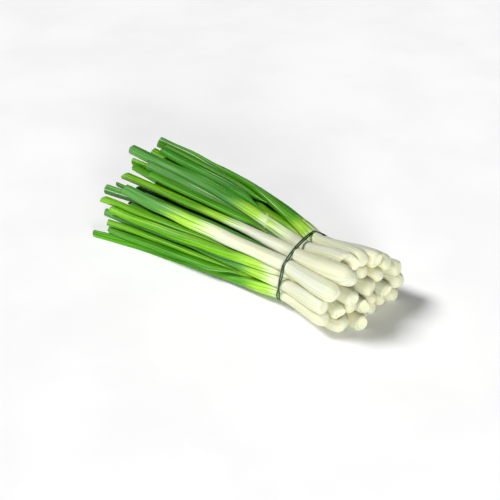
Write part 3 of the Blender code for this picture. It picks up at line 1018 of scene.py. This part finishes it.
    def add_root(self, made: Rings) -> None:
        """Adds the trimmed root plate, with its rings of layers, and the bulb's shoulder.

        Args:
            made: The rings so far, which get more.
        """
        cut_share, shoulder, hollow = self.look.end.value
        end = self.strand.root_x
        full = float(self.radius(np.array([end]))[0])
        cut = full * (cut_share + self.draw.uniform(-0.05, 0.05))
        share = np.array(self.root_rings)
        layers = self.draw.uniform(-self.layer_step, self.layer_step, len(share))
        layers *= (share > 0) & (share < 1)
        face = end - hollow * MM * (1 - share**2) - layers
        shown = smooth_step((1 - share) / 0.2) * self.look.end.cut_shows
        # painted shade in the middle of a hollow cut end
        sunk = 0.6 * smooth_step(1 - 1.6 * share) * max(0.0, min(hollow, 1.0))
        self.add(made, face, cut * share, self.root_slant, flesh=shown, deep=sunk)
        length = shoulder * full
        round_share = np.arange(1, self.shoulder_rings + 1) / self.shoulder_rings
        turn = 0.5 * math.pi * round_share
        x = end - length * (1 - np.cos(turn))
        radius = cut + (self.radius(x) - cut) * np.sin(turn)
        fade = ((1 - round_share) ** 2)[:, None]
        self.add(made, x, radius, self.root_slant * fade, lobe=self.shank_lobe * np.sin(turn))
        self.body_from = end - length

    def add_length(self, made: Rings) -> None:
        """Adds the rings along the bulb, the shank and the leaf.

        Args:
            made: The rings so far, which get more.
        """
        stop = self.strand.tip_x + self.rim_rounding
        x = np.linspace(self.body_from, stop, int((self.body_from - stop) / self.step))[1:]
        slant = self.cut_slant * smooth_step(1 - (x - stop) / self.tip_lean_over)[:, None]
        self.add(made, x, self.radius(x), slant, **self.texture(x))

    def texture(self, x: np.ndarray) -> dict[str, np.ndarray]:
        """Gives the unevenness of the skin at places along X.

        Args:
            x: Places along X, m.

        Returns:
            How far its lobe, ridges and crest show at each place.
        """
        leafy = self.leafiness(x)
        lobe = self.shank_lobe + (self.leaf_lobe - self.shank_lobe) * leafy
        return {"lobe": lobe, "ridge": self.leaf_ridge * leafy, "crest": self.crest * leafy}

    def add_mouth(self, made: Rings) -> None:
        """Adds the cut rim and the inside of the hollow leaf.

        Args:
            made: The rings so far, which get more.
        """
        tip, rounding = self.strand.tip_x, self.rim_rounding
        full = float(self.radius(np.array([tip]))[0])
        x = tip + np.array((0.0, 0.0, 0.0, rounding))
        inset = np.array((rounding, 0.5 * self.wall, self.wall - rounding, self.wall))
        flesh = np.array((0.5, 1.0, 0.8, 0.4))
        self.add(made, x, full - inset, self.cut_slant, flesh=flesh, **self.texture(x))
        share = np.arange(1, self.mouth_rings + 1) / self.mouth_rings
        x = tip + rounding + self.mouth * share
        inner = (full - self.wall) * (1 - self.mouth_taper * share) * (share < 1)
        x[-1] = x[-2]
        slant = self.cut_slant * (1 - smooth_step(share))[:, None]
        # painted shade deepens down inside the hollow leaf, and the cut face's colour fades
        fade = {"deep": 0.35 + 0.65 * share, "flesh": 0.3 * (1 - share)}
        self.add(made, x, inner, slant, **fade, **self.texture(x))


@dataclass
class OuterLeaf(Stem):
    """An outer leaf, which rises as a thin edge out of its stem."""

    host: Strand | None = None  # the stem that it grows on
    opens_over: float = 40.0 * MM
    rises_over: float = 30.0 * MM
    sunk: float = 0.35  # share of the way to the stem's middle where it starts
    start_share: float = 0.40  # how thick it is there, as a share of its strand

    def risen(self, x: np.ndarray) -> np.ndarray:
        """Gives 0 where the leaf starts in its stem and 1 where it stands clear."""
        return smooth_step((self.strand.root_x - x) / self.rises_over)

    def leafiness(self, x: np.ndarray) -> np.ndarray:
        """Gives 0 where the leaf starts and 1 well along it."""
        return smooth_step((self.strand.root_x - x) / self.opens_over)

    def greens(self) -> tuple[float, float]:
        """Gives how far the leaf is white and from where it has its full colour, in mm."""
        return self.look.outer_white_to, self.look.outer_green_from

    def add_root(self, made: Rings) -> None:
        """Adds the blind, thin end that lies against the stem."""
        self.add(made, np.array([self.strand.root_x]), np.zeros(1), np.zeros(2))

    def middle(self, x: np.ndarray) -> np.ndarray:
        """Gives the skin's centreline, which is the CAD's once the leaf stands clear.

        Args:
            x: Places along X, m.

        Returns:
            One point for each place.
        """
        line = self.strand.centre(x)
        inward = self.sunk * (1 - self.risen(x))
        return line + inward[:, None] * (self.host.centre(x) - line)

    def radius(self, x: np.ndarray) -> np.ndarray:
        """Gives the skin's radius at places along X.

        Args:
            x: Places along X, m.

        Returns:
            The radius at each place, m.
        """
        risen = self.risen(x)
        full = self.start_share + (1 - self.start_share) * risen
        return full * self.strand.radius(x) + risen * self.crowd.fullness(x)


@dataclass
class Sheath:
    """A thin sheath sleeve round a shank, which ends in a torn papery rim."""

    stem: Stem
    rim_at: float  # mm past the band
    start_at: float = -24.0  # where it leaves the shank, in mm past the band
    proud: float = 0.34 * MM
    wall: float = 0.24 * MM
    buried: float = 0.5 * MM  # its closed end lies this deep in the shank
    rises_over: float = 18.0 * MM
    sinks_over: float = 30.0 * MM
    tear: float = 1.5 * MM
    step: float = 1.3 * MM
    inner_rings: int = 30
    rim_reach: float = 10.0 * MM  # the rim slants and tears over this length
    rim_lean: tuple[float, float] = (0.5, 1.1)  # the least and most that it leans across, as a slope
    rim_rise: tuple[float, float] = (-0.6, 0.1)  # and up
    most_ripe: float = 0.34  # how green it gets at the rim

    def rings(self) -> Rings:
        """Makes the sleeve's rings: out along the shank, over the rim and back inside it.

        Returns:
            The rings, which close on themselves.
        """
        made = Rings()
        draw = self.stem.draw
        start, rim = BAND_X - self.start_at * MM, BAND_X - self.rim_at * MM
        across = draw.uniform(*self.rim_lean) * draw.choice((-1, 1))
        slant = np.array((across, draw.uniform(*self.rim_rise)))
        out = np.linspace(start, rim, int((start - rim) / self.step))
        back = np.linspace(rim, start, self.inner_rings)
        rising = smooth_step((start - out) / self.rises_over)
        sinking = smooth_step((back - rim) / self.sinks_over)
        outer = -self.buried + (self.buried + self.proud) * rising
        inner = self.proud - self.wall - (self.buried + self.proud) * sinking
        near = smooth_step(1 - (out - rim) / self.rim_reach)
        self.add(made, out, outer, slant, 0.5 * near**4)
        self.add(made, back, inner, slant, 0.3)
        self.add(made, np.array([start]), np.array([-self.buried]), slant, 0.0)
        return made

    def add(
        self,
        made: Rings,
        x: np.ndarray,
        height: np.ndarray,
        slant: np.ndarray,
        flesh: np.ndarray | float,
    ) -> None:
        """Adds rings over the shank's skin, more slanted and torn near the rim.

        Args:
            made: The rings so far.
            x: The places along X.
            height: How far each ring stands over the shank's skin.
            slant: How the rim leans ahead, across and up.
            flesh: How far each ring shows the cut face's colour.
        """
        rim = BAND_X - self.rim_at * MM
        near = smooth_step(1 - (x - rim) / self.rim_reach)
        texture = {
            "ripe": self.most_ripe * smooth_step((BAND_X - x) / (self.rim_at * MM)),
            "ragged": self.tear * near,
            "flesh": flesh,
            "lobe": self.stem.shank_lobe,
        }
        self.stem.add(made, x, self.stem.radius(x) + height, slant * near[:, None], **texture)


@dataclass
class RubberBand:
    """The doubled rubber band, which follows the loop of its CAD node."""

    node: bpy.types.Object
    across: float = 1.25 * MM
    between: int = 6
    sides: int = 20
    squareness: float = 3.2
    half: float = 0.54 * MM
    lobe: float = 0.03
    corners: int = 4  # a whole section of the node has this many
    wrap: int = 3  # sections repeated past each end, so that the curve closes smoothly

    def loop(self) -> tuple[np.ndarray, np.ndarray]:
        """Reads the loop: the middle of each of the node's sections, in order, and its outward way.

        Returns:
            The middles and the outward directions.
        """
        faces = np.array([p.vertices[:] for p in self.node.data.polygons])
        points = np.array([v.co[:] for v in self.node.data.vertices])
        _, first, index = np.unique(
            np.round(points, 6), axis=0, return_index=True, return_inverse=True
        )
        points, faces = points[first], index.reshape(-1)[faces]
        # Points nearer each other than the band is wide belong to one section.
        edges = np.concatenate([faces[:, [0, 1]], faces[:, [1, 2]], faces[:, [2, 0]]])
        lengths = np.linalg.norm(points[edges[:, 0]] - points[edges[:, 1]], axis=1)
        short = lengths < self.across
        group = np.arange(len(points))
        for _ in range(self.corners):
            for a, b in edges[short]:
                group[a] = group[b] = min(group[a], group[b])
        names = np.unique(group)
        near: dict[int, set[int]] = {int(n): set() for n in names}
        for a, b in group[edges[~short]]:
            if a != b:
                near[int(a)].add(int(b))
                near[int(b)].add(int(a))
        # The sections are then walked from neighbour to neighbour, all the way round.
        order = [int(names[0])]
        while True:
            onward = [n for n in sorted(near[order[-1]]) if n not in order]
            if not onward:
                break
            order.append(onward[0])
        order = [n for n in order if np.count_nonzero(group == n) == self.corners]
        middles = np.array([points[group == n].mean(axis=0) for n in order])
        heart = middles.mean(axis=0)
        outward = []
        for n, middle in zip(order, middles):
            corners = points[group == n] - middle
            corners[:, 0] = 0.0
            way = corners[np.argmax(corners @ (middle - heart))]
            outward.append(way / np.linalg.norm(way))
        return middles, np.array(outward)

    def rings(self) -> Rings:
        """Makes the band's rings round the closed loop.

        Returns:
            The rings, the last on top of the first.
        """
        middles, outward = self.loop()
        count = len(middles)
        wrapped = np.arange(-self.wrap, count + self.wrap + 1)
        chords = np.linalg.norm(np.roll(middles, -1, axis=0) - middles, axis=1)
        starts = np.concatenate([[0.0], np.cumsum(chords)])
        knots = starts[wrapped % count] + starts[-1] * (wrapped // count)
        at = np.linspace(0, starts[-1], count * self.between + 1)
        centre = through(knots, middles[wrapped % count], at)
        out = through(knots, outward[wrapped % count], at)
        ahead = np.gradient(centre, axis=0)
        ahead[0] = ahead[-1] = centre[1] - centre[-2]
        ahead /= np.linalg.norm(ahead, axis=1)[:, None]
        side = np.cross(ahead, out)
        side /= np.linalg.norm(side, axis=1)[:, None]
        steps = np.linalg.norm(np.diff(centre, axis=0), axis=1)
        made = Rings()
        directions = (side, np.cross(side, ahead), ahead)
        run = np.concatenate([[0.0], np.cumsum(steps)])
        made.add(centre, directions, radius=self.half, lobe=self.lobe, run=run)
        return made


class Bunch:
    """The whole bunch: thirty-one onions and the rubber band that ties them."""

    seed = 7
    onions = 31
    round_section = 2.0  # the power of a round outline; a higher one is squarer
    seen_sides = 48  # points round a stem on the outside of the bunch
    hidden_sides = 32  # and inside it
    leaf_fewer = 8  # an outer leaf has this many fewer

    def __init__(self) -> None:
        """Reads the strands, plans the stems and leaves, and makes the finishes and the skin tree."""
        self.strands = {
            name: Strand(node)
            for name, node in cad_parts.items()
            if name != "rubber_band"
        }
        self.crowd = Crowd()
        for name in self.strands:
            self.crowd.members[name] = self.plan(name)
        self.skins = SkinTree()
        self.skins.build()
        self.finishes = {tone: skin.material() for tone, skin in SKINS.items()}
        self.rubber = BandRubber().material()

    def plan(self, name: str) -> Stem:
        """Plans one stem or outer leaf, whose rings are made later.

        Args:
            name: Its strand's name.

        Returns:
            The stem or outer leaf.
        """
        root = name.replace("_outer_leaf", "")
        given = (self.strands[name], self.look(int(root[-2:])), self.crowd, self.draw(name))
        if name == root:
            return Stem(*given)
        return OuterLeaf(*given, host=self.strands[root])

    def look(self, number: int) -> Look:
        """Gives an onion's look. Those inside the bunch take theirs in turn.

        Args:
            number: The onion's number, from 1.

        Returns:
            Its tones, and where its white and green begin.
        """
        tones = (Tone.FRESH, Tone.BRIGHT, Tone.DEEP, Tone.WAXY)
        white_to = 8 + number % 5 * 2
        green_from = 54 + number % 4 * 6
        plain = Look(tones[number % 4], tones[(number + 1) % 4], white_to, green_from)
        return LOOKS.get(number, plain)

    def dress_onion(self, number: int) -> None:
        """Builds one onion: its stem, its outer leaf and its sheath.

        Args:
            number: The onion's number.
        """
        name = f"onion_{number:02d}"
        look = self.look(number)
        sides = self.seen_sides if number <= SEEN else self.hidden_sides
        stem = self.crowd.members[name]
        self.finish_piece(stem.rings(), name, "stem", look.leaf, sides)
        outer = f"{name}_outer_leaf"
        if outer in self.strands:
            leaf = self.crowd.members[outer]
            self.finish_piece(
                leaf.rings(), outer, "skin", look.outer, sides - self.leaf_fewer
            )
            if look.outer_sheath_to:
                start = (BAND_X - leaf.strand.root_x) / MM + 1.0
                sheath = Sheath(leaf, look.outer_sheath_to, start_at=start)
                self.finish_piece(sheath.rings(), outer, "sheath", look.outer, sides, False)
        if look.sheath_to:
            sheath = Sheath(stem, look.sheath_to)
            self.finish_piece(sheath.rings(), name, "sheath", look.leaf, sides, False)

    def draw(self, name: str) -> np.random.Generator:
        """Gives a piece its own random numbers, the same in each run."""
        return np.random.default_rng([self.seed, *name.encode()])

    def finish_piece(
        self, rings: Rings, node: str, part: str, tone: Tone, sides: int, stands_for: bool = True
    ) -> None:
        """Lofts, settles and enrols one piece.

        Args:
            rings: Its rings.
            node: The CAD node that it follows.
            part: What the piece is, for its name.
            tone: Its finish.
            sides: Points round it.
            stands_for: Whether it takes the CAD node's place.
        """
        name = f"{node}_{part}"
        seed = float(sum(node.encode()) % 97)
        piece = self.skins.skin(
            rings,
            name,
            self.finishes[tone],
            Sides=sides,
            Squareness=self.round_section,
            Seed=seed,
        )
        self.crowd.settle(piece, node)
        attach(piece, "root")
        if stands_for:
            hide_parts(node)
        log.info("%s: %d faces", name, len(piece.data.polygons))

    def dress_band(self) -> None:
        """Builds the rubber band."""
        band = RubberBand(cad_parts["rubber_band"])
        piece = self.skins.skin(
            band.rings(), "tie_band", self.rubber, Sides=band.sides, Squareness=band.squareness, Seed=1.0
        )
        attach(piece, "root")
        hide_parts("rubber_band")
        log.info("tie_band: %d faces", len(piece.data.polygons))


@dataclass
class Studio:
    """A pale table, soft light from the leaf side, and the camera."""

    table_half: float = 30.0
    mottle: float = 9.0  # patches in a metre
    camera_turn: float = math.radians(39)  # round the bunch, from straight in front
    camera_height: float = math.radians(34.2)
    camera_distance: float = 0.76
    tie_right: float = 42.8 * MM  # the tie lies this far right of the middle of the view
    tie_low: float = 10.3 * MM  # and this far below it
    lens: float = 70.0
    key: tuple[float, float, float] = (-2.70, -1.75, 3.80)
    key_strength: float = 3.18
    key_spread: float = math.radians(20)
    front: tuple[float, float, float] = (3.70, -3.20, 0.50)
    front_power: float = 315.0
    front_size: float = 2.0
    surround: float = 0.12
    sky: float = 0.80  # how pale the surround itself looks

    def build(self) -> None:
        """Sets up the table, the lights and the camera."""
        scene = bpy.context.scene
        scene.view_settings.view_transform = "Standard"
        self.add_table()
        self.add_lights(scene)
        self.add_camera(scene)

    def add_table(self) -> None:
        """Adds the pale table, a matt white board with a barely visible mottle."""
        mesh = bpy.data.meshes.new("table")
        half = self.table_half
        corners = [(-half, -half, 0.0), (half, -half, 0.0), (half, half, 0.0), (-half, half, 0.0)]
        mesh.from_pydata(corners, [], [(0, 1, 2, 3)])
        table = bpy.data.objects.new("table", mesh)
        bpy.context.scene.collection.objects.link(table)
        paint = bpy.data.materials.new("Matt white board")
        paint.use_nodes = True
        tree = paint.node_tree
        shader = tree.nodes["Principled BSDF"]
        place = add_node(tree, "ShaderNodeTexCoord").outputs["Object"]
        patches = {"Vector": place, "Scale": self.mottle, "Detail": 4.0}
        mottle = add_node(tree, "ShaderNodeTexNoise", patches)
        colour = lay_over(tree, "#F6F6F6", "#FBFBFB", mottle, 0.35, 0.65)
        tree.links.new(colour, shader.inputs["Base Color"])
        shader.inputs["Roughness"].default_value = 0.9
        shader.inputs["Specular IOR Level"].default_value = 0.2
        mesh.materials.append(paint)

    def add_lights(self, scene: bpy.types.Scene) -> None:
        """Adds the soft key light, a low front light and an even white surround.

        Args:
            scene: The scene that the lights go in.
        """
        key = bpy.data.lights.new("key", "SUN")
        key.energy = self.key_strength
        key.angle = self.key_spread
        front = bpy.data.lights.new("front", "AREA")
        front.shape = "DISK"
        front.size = self.front_size
        front.energy = self.front_power
        for light, place in ((key, self.key), (front, self.front)):
            lamp = bpy.data.objects.new(light.name, light)
            lamp.location = place
            lamp.rotation_euler = Vector(place).to_track_quat("Z", "Y").to_euler()
            scene.collection.objects.link(lamp)
        world = bpy.data.worlds.new("white surround")
        world.use_nodes = True
        background = world.node_tree.nodes["Background"]
        background.inputs["Color"].default_value = (1.0, 1.0, 1.0, 1.0)
        seen = add_node(world.node_tree, "ShaderNodeLightPath").outputs["Is Camera Ray"]
        reach = {"Value": seen, "To Min": self.surround, "To Max": self.sky}
        strength = add_node(world.node_tree, "ShaderNodeMapRange", reach)
        world.node_tree.links.new(strength.outputs[0], background.inputs["Strength"])
        scene.world = world

    def add_camera(self, scene: bpy.types.Scene) -> None:
        """Adds the camera, which looks down on the bunch from the bulb side.

        Args:
            scene: The scene that gets the camera.
        """
        low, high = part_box("rubber_band")
        tie = (Vector(low) + Vector(high)) / 2
        turn, height = self.camera_turn, self.camera_height
        right = Vector((math.cos(turn), math.sin(turn), 0.0))
        back = Vector(
            (math.sin(turn) * math.cos(height), -math.cos(turn) * math.cos(height), math.sin(height))
        )
        up = back.cross(right)
        place = tie - self.tie_right * right + self.tie_low * up + self.camera_distance * back
        data = bpy.data.cameras.new("camera")
        data.lens = self.lens
        camera = bpy.data.objects.new("camera", data)
        turned = Matrix((right, up, back)).transposed().to_4x4()
        camera.matrix_world = Matrix.Translation(place) @ turned
        scene.collection.objects.link(camera)
        scene.camera = camera


def main() -> None:
    """Builds the studio and the bunch."""
    logging.basicConfig(level=logging.INFO, format="%(message)s")
    Studio().build()
    bunch = Bunch()
    for number in range(1, bunch.onions + 1):
        bunch.dress_onion(number)
    bunch.dress_band()


if __name__ == "__main__":
    main()
